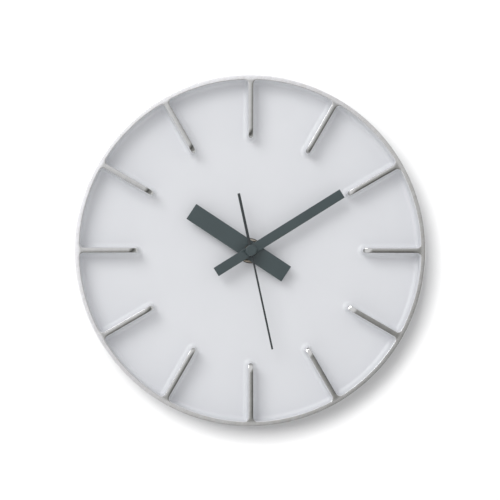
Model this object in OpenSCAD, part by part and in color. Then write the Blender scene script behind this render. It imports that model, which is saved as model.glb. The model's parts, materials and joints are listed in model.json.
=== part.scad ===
// Wall clock: a one-piece cast case with twelve raised hour ribs, flat bar hands
// and a battery quartz movement clamped behind the dial.
// Frame: +Z up, the dial faces -Y and the wall lies on the plane Y = 0. The origin
// is the centre of the keyhole that hangs the clock on its wall screw.
// The parts are drawn about the hand arbor, X right, Y up, Z towards the viewer,
// with the dial face at Z = 0, and in_place() stands them up.

/* [Case] */
// Outside diameter of the case
case_d = 180; // [170:1:220]
// Depth of the case, from the wall to the front of the rim
case_depth = 45; // [44:1:60]
// Width of the polished rim
rim_w = 2.2; // [1.8:0.1:3]
// Depth of the dish, from the rim down to the dial
dish_depth = 8; // [7:0.5:10]
// Thickness of the dial plate
dial_t = 3; // [2.6:0.1:3.4]
// Thickness of the side wall at its rear edge
wall_t = 2.4; // [2:0.1:3.5]
// Radius where the dial meets the side wall
dish_fillet = 3; // [2:0.5:4]

/* [Hour ribs] */
// Number of ribs
rib_count = 12; // [4:4:12]
// Width of a rib's top
rib_w = 2.5; // [2:0.1:4]
// Distance from the arbor to a rib's inner tip
rib_start = 57.8; // [57:0.1:64]
// Radius of the rounded nose at a rib's inner tip
nose_r = 1.2; // [0.5:0.1:2]
// Slope of the ribs' sides, in degrees
draft = 4; // [2:0.5:6]

/* [Hands] */
// Width of the hour hand
hour_w = 9.2; // [8:0.1:11]
// Length of the hour hand from the arbor to its tip
hour_tip = 36.5; // [30:0.5:45]
// Length of the hour hand's tail
hour_tail = 22; // [12:0.5:25]
// Direction of the hour hand, clockwise from twelve
hour_dir = 303.4; // [0:0.1:360]
// Width of the minute hand
minute_w = 5; // [5:0.1:7]
// Length of the minute hand from the arbor to its tip
minute_tip = 55.5; // [45:0.5:56]
// Length of the minute hand's tail
minute_tail = 21; // [12:0.5:25]
// Direction of the minute hand, clockwise from twelve
minute_dir = 58; // [0:0.1:360]
// Width of the second hand's pointer
second_w = 0.95; // [0.8:0.05:1.5]
// Length of the second hand from the arbor to its tip
second_tip = 51.9; // [40:0.1:56]
// Width of the second hand's counterweight
second_tail_w = 1.4; // [1.2:0.1:3]
// Length of the second hand's counterweight
second_tail = 29.9; // [15:0.1:35]
// Direction of the second hand, clockwise from twelve
second_dir = 167.8; // [0:0.1:360]
// Thickness of the hour and minute hands
hand_t = 0.8; // [0.6:0.1:0.9]
// Diameter of the round cap on the second hand
cap_d = 5.7; // [5:0.1:8]

/* [Movement] */
// Width and height of the movement's case
mov_size = 56; // [56:0.5:58]
// Wall thickness of the movement's case
mov_wall = 1.2; // [1:0.1:1.2]
// Diameter of the threaded bush that carries the dial nut
bush_d = 7.9; // [7.6:0.1:8]
// Diameter of the battery
cell_d = 14.5; // [14:0.1:14.5]
// Length of the battery
cell_len = 50.5; // [49.5:0.1:50.5]

/* [Gears] */
// Module of the fine driving wheels
train_module = 0.3; // [0.28:0.01:0.3]
// Module of the wheels that turn the hour hand and the setting knob
motion_module = 0.45; // [0.44:0.01:0.45]
// Share of the tooth thickness left out as backlash
backlash = 0.2; // [0.15:0.01:0.3]
// Running clearance on the radius of every arbor
run_gap = 0.05; // [0.02:0.01:0.08]

/* [Hanging] */
// Height of the keyhole above the arbor
hang_h = 58; // [56:1:62]
// Diameter of the keyhole's entry
key_d = 9; // [8:0.5:10]
// Width of the keyhole's slot
slot_w = 4.5; // [4:0.1:4.5]
// Travel from the entry's centre up to the slot's seat
slot_rise = 9; // [8:0.5:10]
// Distance between the two hanger screws
hanger_span = 40; // [36:1:48]
// Thickness of the hanger plate
hanger_t = 2; // [1.8:0.1:2.5]

/* [Hidden] */
$fn = 64;
eps = 0.01;

// Case
case_r = case_d / 2;
wall_plane = dish_depth - case_depth;
rear_taper = 0.6;
dial_hole_r = 4.1;
dial_recess_r = 6.4;
dial_recess_h = 0.4;

// Hanger
hanger_w = hanger_span + 16;
hanger_h = 26;
hanger_y = hang_h + 3;
hanger_front = wall_plane + hanger_t;
post_r = 4.5;
screw_r = 1.25;
screw_head_r = 2.9;
screw_len = 12;
screw_places = [[-hanger_span / 2, hanger_y], [hanger_span / 2, hanger_y]];

// Clamping stack through the dial
gasket_t = 0.8;
gasket_r = 10;
washer_r = 6.1;
washer_t = 0.6;
nut_flats = 10;
nut_t = 2.4;
bush_r = bush_d / 2;
bush_flange_r = 6;
bush_flange_t = 0.6;
bush_end = 3.2;
washer_top = washer_t - dial_recess_h;

// Arbors and tubes, by radius
arbor_r = 0.6;
seconds_r = 0.5;
minute_tube_r = 1.75;
minute_bore_r = seconds_r + run_gap;
hour_tube_r = 2.5;
hour_bore_r = minute_tube_r + run_gap;
bush_bore_r = hour_tube_r + run_gap;
knob_shaft_r = 1.2;

// Hand levels: the underside of each hand
hour_z = 4.7;
minute_z = 6.7;
second_z = 8.7;
second_t = 0.5;
cap_t = 2;

// Hubs of the hands: the flange under each hand and the neck through it
hour_flange_r = 4;
hour_neck_r = 3.2;
minute_flange_r = 2.4;
minute_neck_r = 2.2;
second_collar_r = 2;
flange_t = 0.6;
neck_over = 0.2;
stem_r = 1;
stem_t = 0.5;
arbor_over = 0.8;

// Movement case
mov_front = -dial_t - gasket_t;
mov_face_t = 1.4;
mov_inner = mov_front - mov_face_t;
mov_half = mov_size / 2;
mov_in = mov_half - mov_wall;
mov_top = 21.4;
mov_bottom = mov_top - mov_size;
divider_top = -16.4;
divider_bottom = divider_top - mov_wall;
cover_front = mov_front - 14.2;
cover_t = 1.4;
mov_back = cover_front - cover_t;
pivot_front = mov_front - 0.6;
pivot_back = cover_front + 0.1;
pivot_room = 0.1;
post_places = [[22, 17], [22, -13.5], [-14.5, -13], [-24.5, 17.5]];
post_pin_r = 0.8;
mov_post_r = 1.6;
clip_w = 6;
clip_hook = 0.8;
clip_hook_t = 0.7;
clip_places = [[90, 12], [90, -12], [0, 0], [180, 0]];

// Wheel levels: the front face of each wheel, then its thickness
hour_wheel_z = mov_front - 2.4;
hour_wheel_t = 1;
minute_wheel_z = mov_front - 4.1;
minute_wheel_t = 1.1;
centre_wheel_z = mov_front - 5.9;
middle_z = mov_front - 7.3;
middle_t = 1;
third_wheel_z = mov_front - 8.8;
seconds_wheel_z = mov_front - 10.2;
intermediate_z = mov_front - 11.6;
thin_t = 0.8;
centre_wheel_t = 0.9;
end_shake = 0.1;
pinion_over = 0.2;

// Tooth counts
rotor_teeth = 8;
intermediate_teeth = 48;
intermediate_pinion = 10;
seconds_teeth = 50;
seconds_pinion = 8;
third_teeth = 60;
third_pinion = 8;
centre_teeth = 64;
cannon_teeth = 12;
minute_teeth = 36;
minute_pinion = 10;
hour_teeth = 40;
setting_teeth = 18;

// Distances between axes, and the modules of the pairs that share them
third_dist = train_module * (third_pinion + centre_teeth) / 2;
third_module = 2 * third_dist / (seconds_pinion + third_teeth);
motion_dist = motion_module * (cannon_teeth + minute_teeth) / 2;
hour_module = 2 * motion_dist / (minute_pinion + hour_teeth);
intermediate_dist = train_module * (intermediate_pinion + seconds_teeth) / 2;
rotor_dist = train_module * (rotor_teeth + intermediate_teeth) / 2;
setting_dist = motion_module * (setting_teeth + minute_teeth) / 2;

// Directions from one axis to the next, then the axes themselves
third_dir = 35;
motion_dir = 140;
setting_dir = 170;
intermediate_dir = 215;
rotor_dir = 170;
arbor = [0, 0];
third_axis = along(arbor, third_dist, third_dir);
motion_axis = along(arbor, motion_dist, motion_dir);
setting_axis = along(motion_axis, setting_dist, setting_dir);
intermediate_axis = along(arbor, intermediate_dist, intermediate_dir);
rotor_axis = along(intermediate_axis, rotor_dist, rotor_dir);

// Tooth positions that put every pair in mesh at rest
seconds_phase = meshed(180 + intermediate_dir, 0, intermediate_pinion, seconds_teeth);
third_phase = meshed(third_dir, 0, seconds_pinion, third_teeth);
centre_phase = meshed(180 + third_dir, 0, third_pinion, centre_teeth);
minute_phase = meshed(motion_dir, 0, cannon_teeth, minute_teeth);
hour_phase = meshed(180 + motion_dir, 0, minute_pinion, hour_teeth);
setting_phase = meshed(setting_dir, minute_phase, minute_teeth, setting_teeth);
intermediate_phase = meshed(180 + rotor_dir, 0, rotor_teeth, intermediate_teeth);

// Stepping motor
magnet_r = 2.9;
magnet_t = 1.3;
magnet_z = mov_front - 9.1;
stator_z = mov_front - 9.2;
stator_t = 1.1;
stator_hole_r = 3.5;
stator_x = [-24.6, -11.6];
stator_y = [-15, 6];
coil_y = [-11.9, 2.9];
coil_x = -22.9;
coil_r = 2.65;
coil_room = 3.3;
bobbin_core_r = 1.7;
bobbin_flange_r = 2.9;
bobbin_flange_t = 0.8;
core_w = 2.2;
core_t = 1;
core_z = stator_z - stator_t;
coil_z = core_z - core_t / 2;

// Electronics
board_z = mov_front - 11.6;
board_t = 0.8;
board_x = 12;
board_top = 12;
board_bottom = -15.8;
board_tail = [-18, -13.4];
contact_t = 0.4;
chip_at = [16.5, -9.5];
chip_r = 2.6;
chip_t = 1.2;
crystal_at = [22.5, -12];
crystal_r = 0.95;
crystal_rim = 0.1;
crystal_len = 6;

// Battery
cell_r = cell_d / 2;
cell_y = divider_bottom - 0.2 - cell_r;
cell_z = mov_inner - 0.2 - cell_r;
cell_nub_r = 2.6;
cell_nub_len = 1.2;
cell_end = mov_in - contact_t;

// Setting knob
knob_r = 5;
knob_t = 3;
knob_z = mov_back - 1;
knob_grips = 12;

// A point a distance away from another, in a direction
function along(from, dist, dir) = from + dist * [cos(dir), sin(dir)];
// Points along an arc, in n steps
function arc(at, r, a0, a1, n) =
    [for (i = [0:n]) at + r * [cos(a0 + (a1 - a0) * i / n), sin(a0 + (a1 - a0) * i / n)]];
// Turns a clockwise direction from twelve into an angle from three o'clock
function dial_angle(dir) = 90 - dir;
// Angle of a tooth on the second wheel of a pair, when the first has a tooth at phase
function meshed(dir, phase, teeth_a, teeth_b) =
    dir + 180 + 180 / teeth_b - (phase - dir) * teeth_a / teeth_b;

// Involute teeth
pressure_angle = 20;
function base_r(teeth, m) = m * teeth / 2 * cos(pressure_angle);
function involute(a) = tan(a) * 180 / PI - a;
function tooth_half(r, teeth, m) =
    90 / teeth * (1 - backlash) + involute(pressure_angle)
    - involute(acos(base_r(teeth, m) / max(r, base_r(teeth, m))));
// Radii up one flank: the root, then steps from the base circle to the tip
function flank(root, low, tip, steps) =
    concat(root < low ? [root] : [], [for (i = [0:steps]) low + (tip - low) * i / steps]);
function gear_points(teeth, m, addendum, dedendum, steps) =
    let (root = m * teeth / 2 - dedendum * m,
         tip = m * teeth / 2 + addendum * m,
         radii = flank(root, max(root, base_r(teeth, m)), tip, steps),
         last = len(radii) - 1)
    [for (k = [0:teeth - 1]) each concat(
        [for (i = [0:last]) along([0, 0], radii[i],
            360 * k / teeth - tooth_half(radii[i], teeth, m))],
        [for (i = [last:-1:0]) along([0, 0], radii[i],
            360 * k / teeth + tooth_half(radii[i], teeth, m))])];

// Stands the drawing up on the wall, hung at the keyhole
module in_place() {
    translate([0, wall_plane, -hang_h]) rotate([90, 0, 0]) children();
}

// A disc between two levels, at a place on the dial plane
module disc(r, front, back, at = [0, 0]) {
    translate([at[0], at[1], back]) cylinder(r = r, h = front - back);
}

// A box between two corners on the dial plane and two levels
module slab(low, high, front, back) {
    translate([low[0], low[1], back])
        cube([high[0] - low[0], high[1] - low[1], front - back]);
}

// A toothed wheel, with its front face at a level
module wheel(teeth, m, front, t, phase = 0) {
    translate([0, 0, front - t]) rotate(phase)
        linear_extrude(t) polygon(gear_points(teeth, m, 0.8, 1.15, 1));
}

// A pinion, a little wider than the wheel it drives
module pinion(teeth, m, wheel_front, wheel_t, phase = 0) {
    translate([0, 0, wheel_front - wheel_t - pinion_over]) rotate(phase)
        linear_extrude(wheel_t + 2 * pinion_over)
            polygon(gear_points(teeth, m, 0.9, 1.25, 2));
}

// Round lightening holes in a wheel's web
module web_holes(count, ring_r, hole_r, front, t) {
    for (i = [0:count - 1])
        disc(hole_r, front + 1, front - t - 1, along([0, 0], ring_r, 360 * i / count));
}

module case_profile() {
    lip_r = 0.5;
    edge_r = 0.7;
    rear_fillet = 3;
    lip_at = case_r - rim_w + lip_r;
    wall_foot = case_r - rim_w - (dish_depth - lip_r - dish_fillet) * tan(draft);
    rear_r = case_r - rear_taper;
    inner_r = rear_r - wall_t;
    inner_foot = inner_r - 0.8;
    polygon(concat(
        [[dial_hole_r, 0]],
        arc([wall_foot - dish_fillet, dish_fillet], dish_fillet, -90, 0, 6),
        arc([lip_at, dish_depth - lip_r], lip_r, 180, 90, 4),
        arc([case_r - edge_r, dish_depth - edge_r], edge_r, 90, 0, 4),
        [[rear_r, wall_plane + edge_r], [rear_r - edge_r, wall_plane], [inner_r, wall_plane]],
        arc([inner_foot - rear_fillet, -dial_t - rear_fillet], rear_fillet, 0, 90, 6),
        [[dial_hole_r, -dial_t]]
    ));
}

module rib() {
    base_w = rib_w / 2 + dish_depth * tan(draft);
    root = -dial_t / 2;
    rim_mid = case_r - rim_w / 2;
    rib_len = rim_mid - rib_start;
    intersection() {
        // sides with draft
        translate([rib_start, 0, 0]) rotate([90, 0, 90]) linear_extrude(rib_len)
            polygon([
                [-base_w, root], [base_w, root],
                [base_w, 0], [rib_w / 2, dish_depth], [-rib_w / 2, dish_depth], [-base_w, 0]
            ]);
        // level top, flush with the rim, ending in a round nose
        rotate([90, 0, 0]) translate([0, 0, -base_w]) linear_extrude(2 * base_w)
            polygon(concat(
                [[rim_mid, root], [rim_mid, dish_depth]],
                arc([rib_start + nose_r, dish_depth - nose_r], nose_r, 90, 180, 6),
                [[rib_start, root]]
            ));
        // round end in plan
        translate([0, 0, root]) linear_extrude(dish_depth - root) union() {
            translate([rib_start + base_w, 0]) circle(r = base_w);
            translate([rib_start + base_w, -base_w]) square([rib_len - base_w, 2 * base_w]);
        }
    }
}

module case() {
    color("whitesmoke") in_place() difference() {
        union() {
            rotate_extrude($fn = 256) case_profile();
            for (i = [0:rib_count - 1]) rotate(i * 360 / rib_count) rib();
            for (at = screw_places) disc(post_r, -dial_t / 2, hanger_front, at);
        }
        disc(dial_recess_r, 1, -dial_recess_h);
        for (at = screw_places)
            disc(screw_r, hanger_front + screw_len + 2, hanger_front - 1, at);
    }
}

module hanger_plate() {
    corner_r = 4;
    inset = [hanger_w / 2 - corner_r, hanger_h / 2 - corner_r];
    color("silver") in_place() difference() {
        union() {
            for (x = [-1, 1], y = [-1, 1])
                disc(corner_r, hanger_front, wall_plane, [x * inset[0], hanger_y + y * inset[1]]);
            slab([-hanger_w / 2, hanger_y - inset[1]], [hanger_w / 2, hanger_y + inset[1]],
                hanger_front, wall_plane);
            slab([-inset[0], hanger_y - hanger_h / 2], [inset[0], hanger_y + hanger_h / 2],
                hanger_front, wall_plane);
        }
        disc(key_d / 2, hanger_front + 1, wall_plane - 1, [0, hang_h]);
        slab([-slot_w / 2, hang_h], [slot_w / 2, hang_h + slot_rise], hanger_front + 1, wall_plane - 1);
        disc(slot_w / 2, hanger_front + 1, wall_plane - 1, [0, hang_h + slot_rise]);
        for (at = screw_places) translate([at[0], at[1], wall_plane]) {
            translate([0, 0, -1]) cylinder(r = screw_r, h = hanger_t + 2);
            translate([0, 0, -eps]) cylinder(r1 = screw_head_r, r2 = screw_r, h = screw_head_r - screw_r);
        }
    }
}

module hanger_screws() {
    slot = 0.7;
    cross = 3;
    sink = 0.1;
    gap = 0.15;
    color("gainsboro") in_place()
        for (at = screw_places) translate([at[0], at[1], wall_plane]) difference() {
            union() {
                translate([0, 0, sink])
                    cylinder(r1 = screw_head_r - gap, r2 = screw_r, h = screw_head_r - screw_r - gap);
                translate([0, 0, 2 * sink]) cylinder(r = screw_r, h = hanger_t + screw_len - 2 * sink);
            }
            for (turn = [0, 90]) rotate(turn)
                translate([-cross / 2, -slot / 2, -1]) cube([cross, slot, 2]);
        }
}

module dial_gasket() {
    color("dimgray") in_place() difference() {
        disc(gasket_r, -dial_t, mov_front);
        disc(dial_hole_r, 0, mov_front - 1);
    }
}

module dial_washer() {
    color("goldenrod") in_place() difference() {
        disc(washer_r, washer_top, -dial_recess_h);
        disc(bush_r, 2, -2);
    }
}

module dial_nut() {
    corner_r = nut_flats / 2 / cos(30);
    chamfer = 0.5;
    color("darkgoldenrod") in_place() difference() {
        intersection() {
            translate([0, 0, washer_top]) cylinder(r = corner_r, h = nut_t, $fn = 6);
            union() {
                disc(corner_r + 1, washer_top + nut_t - chamfer, washer_top);
                translate([0, 0, washer_top + nut_t - chamfer])
                    cylinder(r1 = corner_r, r2 = corner_r - 2 * chamfer, h = chamfer);
            }
        }
        disc(bush_r, washer_top + nut_t + 1, -1);
    }
}

module threaded_bush() {
    color("gold") in_place() difference() {
        union() {
            disc(bush_r, bush_end, mov_inner);
            disc(bush_flange_r, mov_inner, mov_inner - bush_flange_t);
        }
        disc(bush_bore_r, bush_end + 1, mov_inner - 2);
    }
}

// A snap hook at the movement case's edge, or the notch it passes through
module clip(turn, shift, notch = false) {
    slack = notch ? 0.1 : 0;
    reach = turn == 90 ? mov_top : mov_half;
    rotate(turn) translate([0, turn == 90 ? -shift : shift, 0]) {
        slab([reach - mov_wall - slack, -clip_w / 2 - slack], [reach + slack, clip_w / 2 + slack],
            cover_front + (notch ? 1 : 0), mov_back - (notch ? 1 : clip_hook_t));
        if (!notch) slab([reach - mov_wall - clip_hook, -clip_w / 2], [reach, clip_w / 2],
            mov_back, mov_back - clip_hook_t);
    }
}

module movement_case() {
    tab_slot = 0.6;
    notch_w = 16;
    color("lightslategray") in_place() difference() {
        union() {
            difference() {
                slab([-mov_half, mov_bottom], [mov_half, mov_top], mov_front, mov_back);
                // gear bay and battery bay
                slab([-mov_in, divider_top], [mov_in, mov_top - mov_wall], mov_inner, mov_back - 1);
                slab([-mov_in, mov_bottom + mov_wall], [mov_in, divider_bottom], mov_inner, mov_back - 1);
                // step that seats the rear cover
                slab([-mov_half - 1, divider_bottom], [mov_half + 1, mov_top + 1],
                    cover_front, mov_back - 1);
            }
            for (p = post_places) {
                disc(mov_post_r, mov_inner + eps, middle_z, p);
                disc(post_pin_r, middle_z + 1, middle_z - middle_t, p);
            }
            for (c = clip_places) clip(c[0], c[1]);
        }
        disc(bush_r, mov_front + 1, mov_inner - 1);
        for (p = [third_axis, motion_axis])
            disc(arbor_r + run_gap, pivot_front + pivot_room, mov_inner - 1, p);
        disc(post_pin_r + run_gap, pivot_front + pivot_room, mov_inner - 1, setting_axis);
        // slots for the battery contacts, and a finger notch for the battery
        for (side = [-1, 1]) translate([side * (mov_in - tab_slot / 2), 0])
            slab([-tab_slot / 2, divider_bottom - 1], [tab_slot / 2, divider_top + 1],
                board_z + 2, cover_front - 1);
        slab([-notch_w / 2, mov_bottom - 1], [notch_w / 2, mov_bottom + mov_wall + 1],
            cell_z, mov_back - 1);
    }
}

module middle_plate() {
    edge_gap = 0.4;
    foot_r = 1;
    feet = [[24.4, 9.5], [24.4, -14.4]];
    color("lightgray") in_place() difference() {
        union() {
            slab([-mov_in + edge_gap, divider_top + edge_gap],
                [mov_in - edge_gap - eps, mov_top - mov_wall - edge_gap], middle_z, middle_z - middle_t);
            for (p = feet) disc(foot_r, middle_z, board_z, p);
        }
        // room for the coil
        slab([-mov_in, divider_top], [coil_x + coil_room, stator_y[1]],
            middle_z + 1, middle_z - middle_t - 1);
        for (p = post_places) disc(post_pin_r, middle_z + 1, middle_z - middle_t - 1, p);
        for (p = [third_axis, motion_axis, intermediate_axis, rotor_axis])
            disc(arbor_r + run_gap, middle_z + 1, middle_z - middle_t - 1, p);
        disc(minute_bore_r, middle_z + 1, middle_z - middle_t - 1);
        disc(knob_shaft_r + run_gap, middle_z + 1, middle_z - middle_t - 1, setting_axis);
    }
}

module rear_cover() {
    boss_r = 1.9;
    boss_h = 1;
    color("slategray") in_place() difference() {
        union() {
            slab([-mov_half, divider_bottom], [mov_half, mov_top], cover_front, mov_back);
            for (p = [arbor, third_axis, intermediate_axis, rotor_axis])
                disc(boss_r, cover_front + boss_h, cover_front - eps, p);
        }
        for (p = [third_axis, intermediate_axis, rotor_axis])
            disc(arbor_r + run_gap, cover_front + 2, cover_front - 0.2, p);
        disc(minute_bore_r, cover_front + 2, cover_front - 0.2);
        disc(knob_shaft_r + run_gap, cover_front + 1, mov_back - 1, setting_axis);
        for (c = clip_places) clip(c[0], c[1], true);
    }
}

module battery() {
    step = 0.6;
    color("dimgray") in_place() translate([cell_end, cell_y, cell_z]) rotate([0, -90, 0]) union() {
        cylinder(r = cell_nub_r, h = cell_nub_len + 1);
        translate([0, 0, cell_nub_len]) cylinder(r = cell_r - step, h = cell_len - cell_nub_len);
        translate([0, 0, cell_nub_len + step]) cylinder(r = cell_r, h = cell_len - cell_nub_len - 2 * step);
    }
}

// The strip that rises from the battery bay to the circuit board
module contact_tab(inner) {
    reach = 1.6;
    slab([inner, cell_y], [inner + contact_t, divider_top + reach], board_z + reach, board_z - board_t);
}

// The contact's flat part, against the end wall of the battery bay
module contact_plate(inner) {
    slab([inner, cell_y - 5], [inner + contact_t, cell_y + 5], cell_z + 4, cell_z - 4);
}

module positive_contact() {
    color("gainsboro") in_place() union() {
        contact_plate(cell_end);
        contact_tab(cell_end);
    }
}

module negative_contact() {
    gap = 2 * mov_in - 2 * contact_t - cell_len;
    bow = 4.5;
    leaf_w = 6;
    leaf_t = 0.3;
    bow_r = (bow * bow + gap * gap) / (2 * gap);
    bow_a = asin(bow / bow_r);
    color("gainsboro") in_place() union() {
        contact_plate(-mov_in);
        // bowed leaf that presses on the end of the battery
        translate([-cell_end, cell_y, cell_z - leaf_w / 2]) linear_extrude(leaf_w) polygon(concat(
            arc([gap - bow_r, 0], bow_r, -bow_a, bow_a, 12),
            arc([gap - bow_r, 0], bow_r - leaf_t, bow_a, -bow_a, 12)
        ));
        contact_tab(-mov_in);
    }
}

module circuit_board() {
    locating_hole_r = 1.2;
    tail_w = 1.4;
    color("seagreen") in_place() difference() {
        union() {
            slab([board_x, board_bottom], [cell_end, board_top], board_z, board_z - board_t);
            slab([board_tail[0], board_bottom], [board_x + 1, board_tail[1]],
                board_z, board_z - board_t);
            // tail that reaches the negative contact
            slab([-cell_end, board_bottom], [board_tail[0] + 1, board_bottom + tail_w],
                board_z, board_z - board_t);
        }
        disc(locating_hole_r, board_z + 1, board_z - board_t - 1, [15, 9]);
    }
}

module driver_chip() {
    dome_r = 3.5;
    color("black") in_place() intersection() {
        disc(chip_r, board_z + chip_t, board_z, chip_at);
        translate([chip_at[0], chip_at[1], board_z + 1.1 - dome_r]) sphere(r = dome_r);
    }
}

module quartz_crystal() {
    color("lightsteelblue") in_place()
        translate([crystal_at[0], crystal_at[1], board_z + crystal_r + crystal_rim])
            rotate([-90, 0, 0]) union() {
                cylinder(r = crystal_r, h = crystal_len);
                cylinder(r = crystal_r + crystal_rim, h = 0.6);
            }
}

// The slot through the coil that takes its core
module core_bar(y0, y1) {
    slab([coil_x - core_w / 2, y0], [coil_x + core_w / 2, y1], core_z, core_z - core_t);
}

module coil_bobbin() {
    color("ivory") in_place() difference() {
        union() {
            for (y = [coil_y[0], coil_y[1] - bobbin_flange_t])
                translate([coil_x, y, coil_z]) rotate([-90, 0, 0])
                    cylinder(r = bobbin_flange_r, h = bobbin_flange_t);
            translate([coil_x, coil_y[0], coil_z]) rotate([-90, 0, 0])
                cylinder(r = bobbin_core_r, h = coil_y[1] - coil_y[0]);
        }
        core_bar(coil_y[0] - 1, coil_y[1] + 1);
    }
}

module coil_winding() {
    color("peru") in_place() translate([coil_x, coil_y[0] + bobbin_flange_t, coil_z]) rotate([-90, 0, 0])
        difference() {
            cylinder(r = coil_r, h = coil_y[1] - coil_y[0] - 2 * bobbin_flange_t);
            translate([0, 0, -1]) cylinder(r = bobbin_core_r, h = coil_y[1] - coil_y[0]);
        }
}

module coil_core() {
    color("lightgray") in_place() core_bar(stator_y[0], stator_y[1]);
}

module stator() {
    color("gray") in_place() difference() {
        slab([stator_x[0], stator_y[0]], [stator_x[1], stator_y[1]], stator_z, stator_z - stator_t);
        slab([stator_x[0] - 1, coil_y[0] - 0.1], [coil_x + coil_room, coil_y[1] + 0.1],
            stator_z + 1, stator_z - stator_t - 1);
        disc(stator_hole_r, stator_z + 1, stator_z - stator_t - 1, rotor_axis);
    }
}

module rotor_magnet() {
    color("darkslategray") in_place() difference() {
        disc(magnet_r, magnet_z, magnet_z - magnet_t, rotor_axis);
        disc(arbor_r, magnet_z + 1, magnet_z - magnet_t - 1, rotor_axis);
    }
}

module rotor_pinion() {
    color("white") in_place() translate([rotor_axis[0], rotor_axis[1], 0]) union() {
        disc(arbor_r, middle_z - end_shake, pivot_back);
        pinion(rotor_teeth, train_module, intermediate_z, thin_t);
    }
}

module intermediate_wheel() {
    color("white") in_place() translate([intermediate_axis[0], intermediate_axis[1], 0]) union() {
        disc(arbor_r, middle_z - end_shake, pivot_back);
        pinion(intermediate_pinion, train_module, seconds_wheel_z, thin_t);
        difference() {
            wheel(intermediate_teeth, train_module, intermediate_z, thin_t, intermediate_phase);
            web_holes(4, 4.4, 1.4, intermediate_z, thin_t);
        }
    }
}

module seconds_wheel() {
    color("white") in_place() difference() {
        union() {
            pinion(seconds_pinion, third_module, third_wheel_z, thin_t);
            disc(1.5, third_wheel_z - thin_t - pinion_over, seconds_wheel_z - thin_t);
            wheel(seconds_teeth, train_module, seconds_wheel_z, thin_t, seconds_phase);
        }
        disc(seconds_r, third_wheel_z + 1, seconds_wheel_z - 2);
        web_holes(4, 4.6, 1.5, seconds_wheel_z, thin_t);
    }
}

module seconds_arbor() {
    color("silver") in_place() disc(seconds_r, second_z + second_t + arbor_over, pivot_back);
}

module third_wheel() {
    color("white") in_place() translate([third_axis[0], third_axis[1], 0]) union() {
        disc(arbor_r, pivot_front, pivot_back);
        pinion(third_pinion, train_module, centre_wheel_z, centre_wheel_t);
        difference() {
            wheel(third_teeth, third_module, third_wheel_z, thin_t, third_phase);
            web_holes(5, 5.6, 1.8, third_wheel_z, thin_t);
        }
    }
}

module centre_wheel() {
    color("white") in_place() difference() {
        wheel(centre_teeth, train_module, centre_wheel_z, centre_wheel_t, centre_phase);
        disc(minute_tube_r, centre_wheel_z + 1, centre_wheel_z - 2);
        web_holes(5, 5.6, 1.8, centre_wheel_z, centre_wheel_t);
    }
}

module minute_tube() {
    color("silver") in_place() difference() {
        union() {
            disc(minute_tube_r, minute_z + hand_t + neck_over, centre_wheel_z - centre_wheel_t - 0.1);
            pinion(cannon_teeth, motion_module, minute_wheel_z, minute_wheel_t);
        }
        disc(minute_bore_r, minute_z + 2, middle_z);
    }
}

module minute_wheel() {
    color("white") in_place() translate([motion_axis[0], motion_axis[1], 0]) union() {
        disc(arbor_r, pivot_front, middle_z - middle_t + 0.1);
        disc(1.4, hour_wheel_z - hour_wheel_t, minute_wheel_z);
        pinion(minute_pinion, hour_module, hour_wheel_z, hour_wheel_t);
        difference() {
            wheel(minute_teeth, motion_module, minute_wheel_z, minute_wheel_t, minute_phase);
            web_holes(4, 4.8, 1.6, minute_wheel_z, minute_wheel_t);
        }
    }
}

module hour_wheel() {
    color("white") in_place() difference() {
        union() {
            disc(hour_tube_r, hour_z + hand_t + neck_over, hour_wheel_z - hour_wheel_t);
            wheel(hour_teeth, hour_module, hour_wheel_z, hour_wheel_t, hour_phase);
        }
        disc(hour_bore_r, hour_z + 2, hour_wheel_z - 2);
        web_holes(5, 5.4, 1.6, hour_wheel_z, hour_wheel_t);
    }
}

module setting_shaft() {
    color("whitesmoke") in_place() translate([setting_axis[0], setting_axis[1], 0]) union() {
        disc(post_pin_r, pivot_front, hour_wheel_z);
        disc(knob_shaft_r, hour_wheel_z, knob_z - knob_t + 0.5);
    }
}

module setting_gear() {
    color("white") in_place() translate([setting_axis[0], setting_axis[1], 0]) difference() {
        wheel(setting_teeth, motion_module, minute_wheel_z, minute_wheel_t, setting_phase);
        disc(knob_shaft_r, minute_wheel_z + 1, minute_wheel_z - 2);
    }
}

module setting_knob() {
    color("whitesmoke") in_place() translate([setting_axis[0], setting_axis[1], knob_z - knob_t])
        difference() {
            cylinder(r = knob_r, h = knob_t);
            translate([0, 0, 0.5]) cylinder(r = knob_shaft_r, h = knob_t);
            for (i = [0:knob_grips - 1])
                translate(concat(along([0, 0], knob_r + 0.4, i * 360 / knob_grips), -1))
                    cylinder(r = 0.9, h = knob_t + 2);
        }
}

// A flat bar hand with square ends
module bar_hand(dir, w, tip, tail, hole_r, level, t) {
    rotate(dial_angle(dir)) difference() {
        slab([-tail, -w / 2], [tip, w / 2], level + t, level);
        disc(hole_r, level + 2, level - 1);
    }
}

// A bush riveted through a hand, pressed on its tube
module hand_bush(outer_r, neck_r, bore_r, level) {
    difference() {
        union() {
            disc(outer_r, level, level - flange_t);
            disc(neck_r, level + hand_t + neck_over, level - flange_t / 2);
        }
        disc(bore_r, level + 2, level - 2);
    }
}

module hour_hand() {
    color("darkslategray") in_place()
        bar_hand(hour_dir, hour_w, hour_tip, hour_tail, hour_neck_r, hour_z, hand_t);
}

module hour_hand_bush() {
    color("goldenrod") in_place() hand_bush(hour_flange_r, hour_neck_r, hour_tube_r, hour_z);
}

module minute_hand() {
    color("darkslategray") in_place()
        bar_hand(minute_dir, minute_w, minute_tip, minute_tail, minute_neck_r, minute_z, hand_t);
}

module minute_hand_bush() {
    color("goldenrod") in_place() hand_bush(minute_flange_r, minute_neck_r, minute_tube_r, minute_z);
}

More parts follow.
